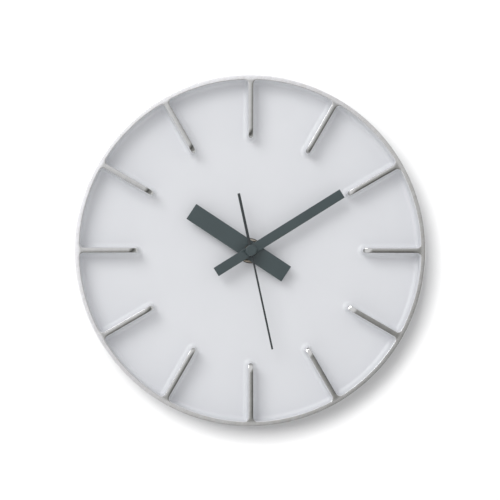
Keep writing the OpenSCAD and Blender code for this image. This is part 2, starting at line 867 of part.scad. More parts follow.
module second_hand() {
    color("black") in_place() rotate(dial_angle(second_dir)) difference() {
        union() {
            slab([0, -second_w / 2], [second_tip, second_w / 2], second_z + second_t, second_z);
            slab([-second_tail, -second_tail_w / 2], [0, second_tail_w / 2], second_z + second_t, second_z);
            disc(second_collar_r, second_z + second_t, second_z);
        }
        disc(stem_r, second_z + 2, second_z - 1);
    }
}

module second_hand_cap() {
    bevel = 0.4;
    top = second_z + second_t + cap_t;
    color("darkslategray") in_place() difference() {
        union() {
            disc(stem_r, second_z + second_t + eps, second_z - stem_t);
            disc(cap_d / 2, top - bevel, second_z + second_t);
            translate([0, 0, top - bevel]) cylinder(r1 = cap_d / 2, r2 = cap_d / 2 - bevel, h = bevel);
        }
        disc(seconds_r, second_z + second_t + arbor_over, second_z - 2);
    }
}

case();
hanger_plate();
hanger_screws();
dial_gasket();
dial_washer();
dial_nut();
threaded_bush();
movement_case();
middle_plate();
rear_cover();
battery();
positive_contact();
negative_contact();
circuit_board();
driver_chip();
quartz_crystal();
coil_bobbin();
coil_winding();
coil_core();
stator();
rotor_magnet();
rotor_pinion();
intermediate_wheel();
seconds_wheel();
seconds_arbor();
third_wheel();
centre_wheel();
minute_tube();
minute_wheel();
hour_wheel();
setting_shaft();
setting_gear();
setting_knob();
hour_hand();
hour_hand_bush();
minute_hand();
minute_hand_bush();
second_hand();
second_hand_cap();
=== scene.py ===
"""Looks of the wall clock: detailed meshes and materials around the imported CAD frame.

Shapes are drawn in millimetres about the hand arbor, x right, y up and z towards the
viewer with the dial face at z = 0, and stood() turns them into the frame, in metres.
"""

import json
import math

import bmesh
import bpy
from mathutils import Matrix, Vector
from mathutils.geometry import tessellate_polygon


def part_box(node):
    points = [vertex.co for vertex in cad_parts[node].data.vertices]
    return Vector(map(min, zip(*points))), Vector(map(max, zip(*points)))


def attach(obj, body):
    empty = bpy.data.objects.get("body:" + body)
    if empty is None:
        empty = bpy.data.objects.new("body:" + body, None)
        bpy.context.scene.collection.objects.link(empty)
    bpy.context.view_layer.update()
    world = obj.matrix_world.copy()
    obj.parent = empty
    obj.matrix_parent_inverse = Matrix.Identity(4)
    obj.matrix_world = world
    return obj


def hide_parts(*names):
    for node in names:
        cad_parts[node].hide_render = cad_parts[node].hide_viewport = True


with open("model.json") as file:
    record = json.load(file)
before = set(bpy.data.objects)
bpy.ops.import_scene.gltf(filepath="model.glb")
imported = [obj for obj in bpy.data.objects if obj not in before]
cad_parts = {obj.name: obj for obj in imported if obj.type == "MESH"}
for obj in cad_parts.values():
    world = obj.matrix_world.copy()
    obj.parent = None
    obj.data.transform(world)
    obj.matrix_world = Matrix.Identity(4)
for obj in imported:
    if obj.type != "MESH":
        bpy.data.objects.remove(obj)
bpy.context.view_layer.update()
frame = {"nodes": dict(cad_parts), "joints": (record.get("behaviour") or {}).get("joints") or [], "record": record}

MM = 0.001
TAU = 2 * math.pi
MERGE = 1e-7  # points closer than this are one, in metres
DISH_DEPTH = 8.0  # from the rim's top down to the dial, in millimetres


# ------------------------ places in the frame

def joint_place(name):
    """Position of a joint's axis in the frame."""
    joint = next(j for j in frame["joints"] if j["name"] == name)
    return Vector(joint["pos_m"])


ARBOR = joint_place("minute_hand_turn")
CASE_LOW, CASE_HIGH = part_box("case")
CASE_R = (CASE_HIGH.x - CASE_LOW.x) / 2 / MM
WALL_Y = CASE_HIGH.y
DIAL_Y = CASE_LOW.y + DISH_DEPTH * MM
WALL_Z = (DIAL_Y - WALL_Y) / MM


def stood(x, y, z):
    """A point drawn about the arbor, in millimetres, as a point of the frame."""
    return Vector((ARBOR.x + x * MM, DIAL_Y - z * MM, ARBOR.z + y * MM))


def drawn(point):
    """A point of the frame, as it is drawn about the arbor, in millimetres."""
    p = Vector(point)
    return Vector(((p.x - ARBOR.x) / MM, (p.z - ARBOR.z) / MM, (DIAL_Y - p.y) / MM))


def drawn_box(node):
    """Lowest and highest corners of a CAD node about the arbor, in millimetres."""
    a, b = (drawn(p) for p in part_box(node))
    return Vector(map(min, a, b)), Vector(map(max, a, b))


# ------------------------ mesh building

def polar(r, angle, at=(0.0, 0.0)):
    """A point at a radius and an angle in radians."""
    return at[0] + r * math.cos(angle), at[1] + r * math.sin(angle)


def mix(a, b, t):
    """A value or point between two others."""
    return a + (b - a) * t


class Builder:
    """Collects vertices and faces, and makes one object of them."""

    def __init__(self):
        self.points = []
        self.faces = []
        self.slots = []

    def add(self, x, y, z):
        """Adds a point and returns its number."""
        self.points.append((x, y, z))
        return len(self.points) - 1

    def ring(self, points):
        """Adds a row of points and returns their numbers."""
        return [self.add(*p) for p in points]

    def circle(self, r, z, count, at=(0.0, 0.0)):
        """Adds a level circle of points."""
        angles = (TAU * i / count for i in range(count))
        return self.ring((*polar(r, a, at), z) for a in angles)

    def face(self, corners, slot=0):
        """Adds a face, unless fewer than three of its corners differ."""
        corners = [c for i, c in enumerate(corners) if c != corners[i - 1]]
        if len(set(corners)) > 2:
            self.faces.append(corners)
            self.slots.append(slot)

    def strip(self, a, b, slot=0, closed=True):
        """Quads between two rows of points."""
        count = len(a)
        for i in range(count if closed else count - 1):
            j = (i + 1) % count
            self.face([a[i], a[j], b[j], b[i]], slot)

    def strips(self, rows, slot=0, closed=True):
        """Quads between each row of points and the next."""
        for a, b in zip(rows, rows[1:]):
            self.strip(a, b, slot, closed)

    def fill(self, loops, slot=0):
        """Triangles over a flat outline, whose later loops are holes in it."""
        flat = [[Vector((*self.points[i][:2], 0)) for i in loop] for loop in loops]
        order = [i for loop in loops for i in loop]
        for triangle in tessellate_polygon(flat):
            self.face([order[i] for i in triangle], slot)

    def fan(self, loop, slot=0):
        """Closes a loop with a point at its middle."""
        where = [Vector(self.points[i]) for i in loop]
        middle = self.add(*(sum(where, Vector()) / len(where)))
        for i, corner in enumerate(loop):
            self.face([corner, loop[(i + 1) % len(loop)], middle], slot)

    def object(self, name, placed=stood):
        """Makes the object, with every point placed in the frame."""
        mesh = bpy.data.meshes.new(name)
        mesh.from_pydata([placed(*p) for p in self.points], [], self.faces)
        mesh.polygons.foreach_set("material_index", self.slots)
        cleaned(mesh)
        return in_scene(name, mesh)


def in_scene(name, data):
    """A new object in the scene."""
    thing = bpy.data.objects.new(name, data)
    bpy.context.scene.collection.objects.link(thing)
    return thing


def cleaned(mesh):
    """Merges doubled points and turns every face outwards."""
    bm = bmesh.new()
    bm.from_mesh(mesh)
    bmesh.ops.remove_doubles(bm, verts=bm.verts, dist=MERGE)
    bmesh.ops.recalc_face_normals(bm, faces=bm.faces)
    bm.to_mesh(mesh)
    bm.free()


def smooth(thing, angle=35.0):
    """Smooth shading, with edges kept sharp above an angle in degrees."""
    mesh = thing.data
    bm = bmesh.new()
    bm.from_mesh(mesh)
    limit = math.radians(angle)
    for edge in bm.edges:
        edge.smooth = len(edge.link_faces) == 2 and edge.calc_face_angle(0.0) < limit
    for face in bm.faces:
        face.smooth = True
    bm.to_mesh(mesh)
    bm.free()
    modifier = thing.modifiers.new("normals", "WEIGHTED_NORMAL")
    modifier.keep_sharp = True
    return thing


def arc(centre, r, a0, a1, steps):
    """Points of a rounding about a centre, with angles in degrees."""
    turns = (math.radians(mix(a0, a1, i / steps)) for i in range(steps + 1))
    return [polar(r, t, centre) for t in turns]


# ------------------------ materials

MIX_A, MIX_B, MIX_RESULT = 6, 7, 2  # colour sockets of a Mix node
RECESS_R, RECESS_EASE = 6.4, 0.12  # recess at the dial's centre
RIM_W = 2.2
RIM_IN = CASE_R - RIM_W


def srgb(r, g, b):
    """Linear colour of an 8-bit display colour."""
    def linear(v):
        v /= 255
        return v / 12.92 if v <= 0.04045 else ((v + 0.055) / 1.055) ** 2.4
    return linear(r), linear(g), linear(b), 1.0


class Finish:
    """A procedural material, grown one feature at a time."""

    def __init__(self, name, colour, roughness, metallic=0.0, **sockets):
        self.material = bpy.data.materials.new(name)
        self.material.use_nodes = True
        self.tree = self.material.node_tree
        self.shader = self.tree.nodes["Principled BSDF"]
        self.material.diffuse_color = colour
        self.shader.inputs["Base Color"].default_value = colour
        self.shader.inputs["Roughness"].default_value = roughness
        self.shader.inputs["Metallic"].default_value = metallic
        for socket, value in sockets.items():
            self.shader.inputs[socket.replace("_", " ")].default_value = value
        self.colour = None
        self.plain = colour
        self.place = self.node("ShaderNodeTexCoord").outputs["Object"]

    def node(self, kind, **values):
        """A new node, with its properties and sockets set by name."""
        made = self.tree.nodes.new(kind)
        for key, value in values.items():
            if hasattr(made, key):
                setattr(made, key, value)
            else:
                made.inputs[key.replace("_", " ")].default_value = value
        return made

    def link(self, source, target):
        self.tree.links.new(source, target)

    def maths(self, operation, a, b=0.5):
        """A calculation with numbers or sockets."""
        made = self.node("ShaderNodeMath", operation=operation)
        for socket, value in zip(made.inputs, (a, b)):
            if isinstance(value, (int, float)):
                socket.default_value = value
            else:
                self.link(value, socket)
        return made.outputs[0]

    def noise(self, size, detail=2.0, rough=0.5, stretch=(1, 1, 1), vector=None):
        """Noise with features of a size in millimetres, stretched along the axes."""
        scaled = self.node("ShaderNodeMapping")
        scaled.inputs["Scale"].default_value = [1 / (size * MM * s) for s in stretch]
        self.link(vector or self.place, scaled.inputs["Vector"])
        made = self.node("ShaderNodeTexNoise", Scale=1.0, Detail=detail, Roughness=rough)
        self.link(scaled.outputs[0], made.inputs["Vector"])
        return made.outputs["Fac"]

    def ramp(self, value, low, high, a=0.0, b=1.0):
        """A value that runs from a to b as another runs from low to high."""
        made = self.node("ShaderNodeMapRange")
        made.inputs["From Min"].default_value = low
        made.inputs["From Max"].default_value = high
        made.inputs["To Min"].default_value = a
        made.inputs["To Max"].default_value = b
        self.link(value, made.inputs["Value"])
        return made.outputs[0]

    def tint(self, value, colour):
        """Mixes a colour into the base colour, as far as a value from 0 to 1."""
        made = self.node("ShaderNodeMix", data_type="RGBA")
        self.link(value, made.inputs["Factor"])
        if self.colour is None:
            made.inputs[MIX_A].default_value = self.plain
        else:
            self.link(self.colour, made.inputs[MIX_A])
        made.inputs[MIX_B].default_value = colour
        self.colour = made.outputs[MIX_RESULT]
        self.link(self.colour, self.shader.inputs["Base Color"])

    def rough(self, value, low, high):
        """Lets roughness follow a noise, which seldom leaves 0.3 to 0.7."""
        self.link(self.ramp(value, 0.3, 0.7, low, high), self.shader.inputs["Roughness"])

    def bump(self, value, depth):
        """Relief of a depth in millimetres."""
        made = self.node("ShaderNodeBump", Strength=1.0, Distance=depth * MM)
        before = self.shader.inputs["Normal"].links
        if before:
            self.link(before[0].from_socket, made.inputs["Normal"])
        self.link(value, made.inputs["Height"])
        self.link(made.outputs[0], self.shader.inputs["Normal"])
        return self

    def parts(self, vector):
        """The three numbers of a vector."""
        made = self.node("ShaderNodeSeparateXYZ")
        self.link(vector, made.inputs[0])
        return made.outputs

    def about_arbor(self):
        """Coordinates (distance from the arbor, way round the case's edge, depth), in metres."""
        moved = self.node("ShaderNodeVectorMath", operation="SUBTRACT")
        self.link(self.place, moved.inputs[0])
        moved.inputs[1].default_value = ARBOR
        x, y, z = self.parts(moved.outputs[0])
        squares = self.maths("ADD", self.maths("MULTIPLY", x, x), self.maths("MULTIPLY", z, z))
        joined = self.node("ShaderNodeCombineXYZ")
        self.link(self.maths("SQRT", squares), joined.inputs[0])
        way = self.maths("MULTIPLY", self.maths("ARCTAN2", z, x), CASE_R * MM)
        self.link(way, joined.inputs[1])
        self.link(y, joined.inputs[2])
        return joined.outputs[0]

    def spread(self, size, detail=3.0, rough=0.5, low=0.35, amount=1.0):
        """Soft patches of a size in millimetres, as a value from 0 to an amount."""
        return self.ramp(self.noise(size, detail, rough), low, 0.7, 0, amount)

    def turning_marks(self):
        """Fine grooves round the arbor."""
        grooves = self.noise(0.06, 1, 0.5, (1, 80, 80), self.about_arbor())
        return self.bump(grooves, 0.003)


def painted_white():
    """Stoved paint with specks and orange peel, with painted shade in the recess under the hands."""
    f = Finish("white_stoved_paint", (0.64, 0.65, 0.672, 1), 0.42, Specular_IOR_Level=0.4)
    f.tint(f.spread(60), (0.655, 0.665, 0.685, 1))
    f.tint(f.ramp(f.noise(0.5, 2), 0.74, 0.84, 0, 0.25), (0.55, 0.56, 0.58, 1))
    out = f.parts(f.about_arbor())["X"]
    # painted shade: the recess round the centre hole is coloured near black for the shadowed gap round the washer
    recess_shade = f.ramp(out, (RECESS_R + RECESS_EASE) * MM, RECESS_R * MM)
    f.tint(recess_shade, (0.05, 0.048, 0.042, 1))
    f.rough(f.noise(9, 3), 0.38, 0.48)
    f.bump(f.noise(1.6, 3, 0.55), 0.012)
    return f.bump(f.noise(0.25, 1), 0.0025).material


def turned_aluminium():
    """Polished bare metal, with painted shade darkening the ribs' colour against the rim's."""
    f = Finish("turned_aluminium", (0.825, 0.83, 0.84, 1), 0.12, 1.0)
    ring = f.about_arbor()
    f.tint(f.spread(3.5, low=0.4, amount=0.5), (0.76, 0.75, 0.735, 1))
    half = 0.6
    # painted shade: the ribs' metal is coloured darker than the rim's, for the darker things they reflect
    rib_shade = f.ramp(f.parts(ring)["X"], (RIM_IN - half) * MM, (RIM_IN + half) * MM, 0.9, 0)
    f.tint(rib_shade, (0.47, 0.475, 0.465, 1))
    f.rough(f.noise(2.2, 4, 0.6), 0.09, 0.16)
    f.bump(f.noise(0.09, 2, 0.6, (1, 60, 4), ring), 0.0005)
    return f.bump(f.noise(4.5, 3), 0.03).material


def hand_paint(name, colour, lighter):
    """Smooth satin paint."""
    f = Finish(name, colour, 0.28, Specular_IOR_Level=0.45)
    f.tint(f.spread(14), lighter)
    f.rough(f.noise(1.8, 3), 0.29, 0.33)
    return f.bump(f.noise(0.22, 3, 0.6), 0.0008).material


def metal(name, colour, other, low, high, mark=0.002, size=0.12):
    """Bare or plated metal with faint stains and fine marks."""
    f = Finish(name, colour, low, 1.0)
    f.tint(f.spread(3.0, 4, 0.6), other)
    f.rough(f.noise(1.2, 3), low, high)
    return f.bump(f.noise(size, 2, 0.6), mark).material


def turned_brass():
    f = Finish("turned_brass", (0.50, 0.46, 0.40, 1), 0.38, 1.0)
    f.tint(f.spread(1.4, 4, 0.6, 0.4, 0.6), (0.52, 0.42, 0.28, 1))
    f.rough(f.noise(0.8, 3), 0.24, 0.4)
    return f.turning_marks().material


def shade_dark_brass():
    """Brass coloured near black as painted shade under the hands, with brass showing where it is worn."""
    f = Finish("brass_dark_as_shade", (0.045, 0.045, 0.042, 1), 0.4, 1.0)
    f.tint(f.ramp(f.noise(0.9, 4, 0.6), 0.45, 0.75, 0, 0.6), (0.16, 0.12, 0.07, 1))
    f.rough(f.noise(0.8, 3), 0.34, 0.5)
    return f.turning_marks().material


def printed_jacket():
    """A battery's jacket, dark blue with a silver band and two thin lines at one end."""
    f = Finish("cell_jacket", (0.045, 0.10, 0.16, 1), 0.24, Coat_Weight=0.5)
    f.tint(f.spread(6), (0.055, 0.12, 0.18, 1))
    along = f.parts(f.place)["X"]
    silver = (0.52, 0.53, 0.54, 1)
    band_from, line_half, soft = 11.8, 0.26, 0.06
    f.tint(f.ramp(along, band_from * MM, (band_from + 0.2) * MM), silver)
    for line in (8.8, 10.4):
        apart = f.maths("ABSOLUTE", f.maths("SUBTRACT", along, line * MM))
        f.tint(f.ramp(apart, (line_half + soft) * MM, line_half * MM), silver)
    f.rough(f.noise(2.5, 3), 0.18, 0.28)
    return f.bump(f.noise(4.0, 3, 0.65), 0.02).material


def moulded(name, colour, other, low, high, grain=0.35, depth=0.012, **sockets):
    """Plastic or rubber with a grain of a size and a depth in millimetres."""
    f = Finish(name, colour, low, **sockets)
    f.tint(f.spread(6), other)
    f.rough(f.noise(2.5, 3), low, high)
    return f.bump(f.noise(grain, 3, 0.65), depth).material


def wound_copper():
    """Enamelled wire, whose turns are a wave along the coil."""
    f = Finish("enamelled_copper_wire", (0.62, 0.22, 0.09, 1), 0.3, 1.0, Coat_Weight=0.6)
    f.tint(f.spread(1.5, low=0.4), (0.48, 0.15, 0.05, 1))
    wire, period_at_one = 0.16, 0.314
    scale = period_at_one / (wire * MM)
    turns = f.node("ShaderNodeTexWave", bands_direction="Z", Scale=scale)
    f.link(f.place, turns.inputs["Vector"])
    return f.bump(turns.outputs["Fac"], 0.05).material


def circuit():
    """Solder mask over a generic pattern of copper cells."""
    f = Finish("circuit_board", (0.03, 0.17, 0.08, 1), 0.35, Coat_Weight=0.3)
    cells = f.node("ShaderNodeTexVoronoi", distance="MANHATTAN", Scale=420.0)
    f.link(f.place, cells.inputs["Vector"])
    copper = f.ramp(cells.outputs["Distance"], 0.38, 0.42)
    f.tint(copper, (0.05, 0.26, 0.13, 1))
    return f.bump(copper, 0.02).material


MATERIALS = {
    "case_cast": painted_white(),
    "polished": turned_aluminium(),
    "plated_steel": metal("zinc_plated_steel", (0.66, 0.67, 0.69, 1), (0.58, 0.57, 0.53, 1),
                          0.26, 0.42, 0.003, 0.3),
    "arbor_steel": metal("bright_steel", (0.62, 0.62, 0.63, 1), (0.52, 0.52, 0.53, 1),
                         0.2, 0.32),
    "gasket_rubber": moulded("black_rubber", (0.022, 0.022, 0.023, 1),
                             (0.035, 0.035, 0.036, 1), 0.7, 0.85, 0.5, 0.03),
    "brass": turned_brass(),
    "shade_dark_brass": shade_dark_brass(),
    "hand_paint": hand_paint("slate_hand_paint", srgb(60, 71, 73), srgb(63, 74, 76)),
    # painted shade: the second hand has the hands' slate paint, coloured darker for the shade on its thin sides
    "second_paint": hand_paint("slate_hand_paint_shaded", srgb(43, 48, 50), srgb(47, 52, 54)),
    "movement_plastic": moulded("black_abs", (0.034, 0.035, 0.037, 1),
                                (0.046, 0.047, 0.049, 1), 0.42, 0.58, 0.4, 0.02),
    "plate_plastic": moulded("grey_acetal", (0.55, 0.55, 0.53, 1), (0.6, 0.6, 0.58, 1),
                             0.35, 0.5),
    "gear_plastic": moulded("white_acetal", (0.80, 0.79, 0.75, 1), (0.74, 0.73, 0.69, 1),
                            0.3, 0.45, 0.3, 0.004,
                            Subsurface_Weight=0.15, Subsurface_Scale=0.0005),
    "knob_plastic": moulded("ivory_abs", (0.66, 0.65, 0.62, 1), (0.7, 0.69, 0.66, 1),
                            0.35, 0.5),
    "cell_jacket": printed_jacket(),
    "board": circuit(),
    "chip_resin": moulded("epoxy_resin", (0.012, 0.012, 0.013, 1), (0.02, 0.02, 0.021, 1),
                          0.15, 0.3, 1.2, 0.04),
    "crystal_can": metal("tinned_can", (0.7, 0.71, 0.73, 1), (0.62, 0.62, 0.64, 1),
                         0.18, 0.3),
    "bobbin_plastic": moulded("natural_nylon", (0.72, 0.66, 0.5, 1), (0.66, 0.6, 0.45, 1),
                              0.35, 0.5),
    "copper": wound_copper(),
    "lamination": metal("soft_iron", (0.42, 0.42, 0.43, 1), (0.34, 0.33, 0.32, 1),
                        0.35, 0.5),
    "magnet": moulded("ferrite", (0.05, 0.05, 0.053, 1), (0.08, 0.08, 0.083, 1),
                      0.4, 0.6, 0.2, 0.02),
}


def clad(thing, *slots):
    """Gives an object its materials, in the order of its faces' material numbers."""
    own = thing.data.materials
    for number, slot in enumerate(slots):
        if number < len(own):
            own[number] = MATERIALS[slot]
        else:
            own.append(MATERIALS[slot])
    return thing


NODE_SLOT = {s["node"]: s["material_slot"] for s in frame["record"]["subparts"]}
NODE_BODY = {n: b for b, ns in frame["record"]["behaviour"]["bodies"].items() for n in ns}


def belongs(thing, node):
    """Puts a piece on a CAD node's body."""
    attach(thing, NODE_BODY[node])


def stand_in(thing, node):
    """Lets a detailed piece stand for a CAD node."""
    belongs(thing, node)
    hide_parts(node)


# ------------------------ the case

PAINT, BARE = 0, 1  # material numbers of the casting's faces
RIB_COUNT = 12
SECTOR = TAU / RIB_COUNT
RIB_TURNS = [SECTOR * k for k in range(RIB_COUNT)]
RIB_TIP, RIB_HALF = 57.8, 1.2  # where a rib starts, and half its width there
RIB_TAPER = math.radians(0.12)
CORNER_R, CORNER_LEAST = 2.1, 0.5  # rounding between a rib and the rim
WALL_DRAFT = math.tan(math.radians(4))
FILLET_R = 2.3  # rounding between the dish's wall and the dial
RIM_CROWN, RIB_CROWN = 0.012, 0.065  # how far the polished tops are domed
CROWN_BLEND = 4.0  # width over which the one dome becomes the other
EASE_R, ON_EDGE = 0.1, 0.001  # rounding of an edge, and how near counts as on it
NOSE_LEN, NOSE_DROP, NOSE_HALF = 3.2, 1.1, 3.0
WALL_TOP = DISH_DEPTH - RIM_CROWN - EASE_R
WALL_LEVELS = (1.0, 0.92, 0.6, 0.25, 0.0)
CORNER_STEPS, SIDE_STEPS, TIP_STEPS, RIM_STEPS, ACROSS, FILLET_STEPS = 8, 14, 12, 28, 14, 8
DIAL_T, WALL_T = 3.0, 2.4
REAR_R = CASE_R - 0.6
REAR_EDGE_R, REAR_LIP_R, REAR_FILLET_R, REAR_DRAFT = 0.7, 0.4, 3.0, 0.8
RECESS_H, HOLE_R, HOLE_COUNT = 0.4, 4.1, 96
SCREW_R, SCREW_HEAD_R, SCREW_DEPTH = 1.25, 2.75, 14
POST_R, POST_ROOT_R, POST_SHORT, POST_COUNT = 4.5, 1.2, 2, 48

RIB_END = Vector((RIB_TIP + RIB_HALF, 0))
RIB_ALONG = Vector((math.cos(RIB_TAPER), math.sin(RIB_TAPER)))
RIB_OUT = Vector((-RIB_ALONG.y, RIB_ALONG.x))


def bend_centre(d, corner):
    """Centre of the rounding between a rib's side and the rim, at an offset."""
    base = RIB_END + RIB_OUT * (RIB_HALF + d + corner)
    reach = RIM_IN - d - corner
    b = base.dot(RIB_ALONG)
    return base + RIB_ALONG * (-b + math.sqrt(b * b - base.dot(base) + reach * reach))


def rib_side(d):
    """A rib's edge from its tip to the rim, and the angle where it meets the rim."""
    corner = max(CORNER_R - d, CORNER_LEAST)
    centre = bend_centre(d, corner)
    rim_angle = math.atan2(centre.y, centre.x)
    side_angle = math.atan2(-RIB_OUT.y, -RIB_OUT.x)
    start = RIB_END + RIB_OUT * (RIB_HALF + d)
    foot = centre - RIB_OUT * corner
    tip_steps = TIP_STEPS // 2
    tip_turn = math.pi / 2 - RIB_TAPER
    points = []
    for i in range(tip_steps):
        a = math.pi - tip_turn * i / tip_steps
        points.append(Vector(polar(RIB_HALF + d, a, RIB_END)))
    for i in range(SIDE_STEPS):
        points.append(start.lerp(foot, i / SIDE_STEPS))
    for i in range(CORNER_STEPS + 1):
        a = mix(side_angle, rim_angle, i / CORNER_STEPS)
        points.append(centre + Vector(polar(corner, a)))
    return points, rim_angle


def rib_edge(d):
    """One rib's edge and the rim up to the next rib, at an offset into the dish."""
    upper, rim_angle = rib_side(d)
    lower = [Vector((p.x, -p.y)) for p in upper[:0:-1]]
    rim_part = []
    for i in range(1, RIM_STEPS):
        a = mix(rim_angle, SECTOR - rim_angle, i / RIM_STEPS)
        rim_part.append(Vector(polar(RIM_IN - d, a)))
    return lower + upper + rim_part


def turned(p, turn):
    """A flat point turned about the arbor."""
    c, s = math.cos(turn), math.sin(turn)
    return p.x * c - p.y * s, p.x * s + p.y * c


EDGE = rib_edge(0.0)
HALF_ROW = TIP_STEPS // 2 + SIDE_STEPS + CORNER_STEPS
EDGE_LINE = [Vector(turned(q, -SECTOR)) for q in EDGE[2 * HALF_ROW:]] + EDGE


def near_edge(p):
    """Distance from a point of the rim or a rib to the nearest edge of it."""
    best = CASE_R - p.length
    for a, b in zip(EDGE_LINE, EDGE_LINE[1:]):
        ab = b - a
        t = max(0.0, min(1.0, (p - a).dot(ab) / max(ab.dot(ab), 1e-12)))
        best = min(best, (a + ab * t - p).length)
    return best if best > ON_EDGE else 0.0


def nose(p):
    """How far the rib's nose has dropped at a point."""
    if abs(p.y) >= NOSE_HALF:
        return 0.0
    t = max(0.0, (RIB_TIP + NOSE_LEN - p.x) / NOSE_LEN)
    return NOSE_DROP * t * t


def crown(p):
    """Height of the polished top: slightly domed, with its edges eased."""
    gap = near_edge(p)
    dome = 1 - min(gap / (RIM_W / 2), 1.0)
    ease = 1 - min(gap / EASE_R, 1.0)
    eased = EASE_R * (1 - math.sqrt(max(0.0, 1 - ease * ease)))
    on_rim = max(0.0, min(1.0, (p.length - RIM_IN + CROWN_BLEND) / CROWN_BLEND))
    amount = mix(RIB_CROWN, RIM_CROWN, on_rim * on_rim * (3 - 2 * on_rim))
    return DISH_DEPTH - amount * dome * dome - eased - nose(p)


def crowned(rows):
    """Rows of flat points, each with its height."""
    return [[(p, crown(p)) for p in row] for row in rows]


def land_template():
    """Points of one rib's top and its piece of the rim, as rows to be joined."""
    lower = EDGE[:HALF_ROW][::-1]
    upper = EDGE[HALF_ROW + 1:2 * HALF_ROW + 1]
    spread = [(1 - math.cos(math.pi * i / ACROSS)) / 2 for i in range(ACROSS + 1)]
    rib_rows = []
    for low, high in zip(reversed(upper), reversed(lower)):
        rib_rows.append([high.lerp(low, t) for t in spread])
    rib_rows[0] = [p.normalized() * RIM_IN for p in rib_rows[0]]
    rim_line = rib_rows[0] + EDGE[2 * HALF_ROW + 1:]
    rim_rows = []
    for t in spread:
        rim_rows.append([p.normalized() * mix(RIM_IN, CASE_R, t) for p in rim_line])
    return crowned(rib_rows), crowned(rim_rows)


def dish_ring(b, d, heights):
    """A loop round all the ribs, at an offset, with a height for each point of EDGE."""
    row = list(zip(rib_edge(d), heights))
    return b.ring((*turned(p, t), z) for t in RIB_TURNS for p, z in row)


def dish_wall(b):
    """The wall of the dish and the ribs, down to the dial. Returns its foot."""
    edge_top = [crown(p) for p in EDGE]
    rings = []
    for level in WALL_LEVELS:
        d = (WALL_TOP - mix(FILLET_R, WALL_TOP, level)) * WALL_DRAFT
        rings.append(dish_ring(b, d, [mix(FILLET_R, top, level) for top in edge_top]))
    foot = (WALL_TOP - FILLET_R) * WALL_DRAFT
    for step in range(1, FILLET_STEPS + 1):
        a = math.radians(90 * step / FILLET_STEPS)
        d = foot + FILLET_R * (1 - math.cos(a))
        rings.append(dish_ring(b, d, [FILLET_R * (1 - math.sin(a))] * len(EDGE)))
    b.strips(rings, PAINT)
    return rings[-1]


def polished_top(b):
    """The bare tops of the ribs and the rim. Returns the rim's outer edge."""
    rib_rows, rim_rows = land_template()
    for t in RIB_TURNS:
        rows = [b.ring((*turned(p, t), z) for p, z in row) for row in rib_rows]
        b.strips(rows, BARE, closed=False)
        apex = b.add(*turned(EDGE[HALF_ROW], t), crown(EDGE[HALF_ROW]))
        for i in range(ACROSS):
            b.face([rows[-1][i], rows[-1][i + 1], apex], BARE)
    rim = [b.ring((*turned(p, t), z) for t in RIB_TURNS for p, z in row) for row in rim_rows]
    b.strips(rim, BARE)
    return rim[-1]


def side_wall(b, rim):
    """The outside, the rear edge and the inside of the wall. Returns its inner foot."""
    around = [math.atan2(b.points[i][1], b.points[i][0]) for i in rim]
    inner_r = REAR_R - WALL_T
    inner_foot = inner_r - REAR_DRAFT
    lip_r = REAR_LIP_R
    profile = [(CASE_R, WALL_TOP - 0.35)]
    profile += [(mix(CASE_R, REAR_R, t), mix(WALL_TOP, WALL_Z, t)) for t in (0.3, 0.6, 0.9)]
    profile += arc((REAR_R - REAR_EDGE_R, WALL_Z + REAR_EDGE_R), REAR_EDGE_R, 0, -90, 4)
    profile += arc((inner_r + lip_r, WALL_Z + lip_r), lip_r, -90, -180, 3)
    profile += [(mix(inner_r, inner_foot, t), mix(WALL_Z, -DIAL_T, t)) for t in (0.35, 0.7)]
    profile += arc((inner_foot - REAR_FILLET_R, -DIAL_T - REAR_FILLET_R), REAR_FILLET_R, 0, 90, 8)
    rows = [rim] + [b.ring((*polar(r, a), z) for a in around) for r, z in profile]
    b.strips(rows, PAINT)
    return rows[-1]


def centre_hole(b):
    """The recess and the hole for the bush. Returns their front and back edges."""
    ease = RECESS_EASE
    profile = [(RECESS_R + ease, 0.0), (RECESS_R, -ease), (RECESS_R, -RECESS_H),
               (HOLE_R + 0.1, -RECESS_H), (HOLE_R, -RECESS_H - 0.1),
               (HOLE_R, 0.15 - DIAL_T), (HOLE_R + 0.15, -DIAL_T)]
    rows = [b.circle(r, z, HOLE_COUNT) for r, z in profile]
    b.strips(rows, PAINT)
    return rows[0], rows[-1]


def hanger_post(b, side):
    """A post behind the dial with its screw hole. Returns the edge of its root."""
    low, high = drawn_box("hanger_screws")
    at = (side * (high.x - SCREW_HEAD_R), (low.y + high.y) / 2)
    end = WALL_Z + POST_SHORT
    root = (POST_R + POST_ROOT_R, -DIAL_T - POST_ROOT_R)
    profile = arc(root, POST_ROOT_R, 90, 180, 5)
    profile += [(POST_R, mix(-DIAL_T, end, t)) for t in (0.35, 0.7)]
    profile += [(POST_R, end + 0.4), (POST_R - 0.4, end), (SCREW_R + 0.3, end)]
    profile += [(SCREW_R, end + 0.3), (SCREW_R, end + SCREW_DEPTH)]
    rings = [b.circle(r, z, POST_COUNT, at) for r, z in profile]
    b.strips(rings, PAINT)
    b.fan(rings[-1], PAINT)
    return rings[0]


def build_case():
    """The one-piece casting: dish, ribs, rim, side wall and hanger posts."""
    b = Builder()
    dial_edge = dish_wall(b)
    rim = polished_top(b)
    back_edge = side_wall(b, rim)
    hole_front, hole_back = centre_hole(b)
    b.fill([dial_edge, hole_front], PAINT)
    posts = [hanger_post(b, side) for side in (-1, 1)]
    b.fill([back_edge, hole_back] + posts, PAINT)
    stand_in(clad(smooth(b.object("case_casting"), 40), "case_cast", "polished"), "case")


build_case()


# ------------------------ the hands

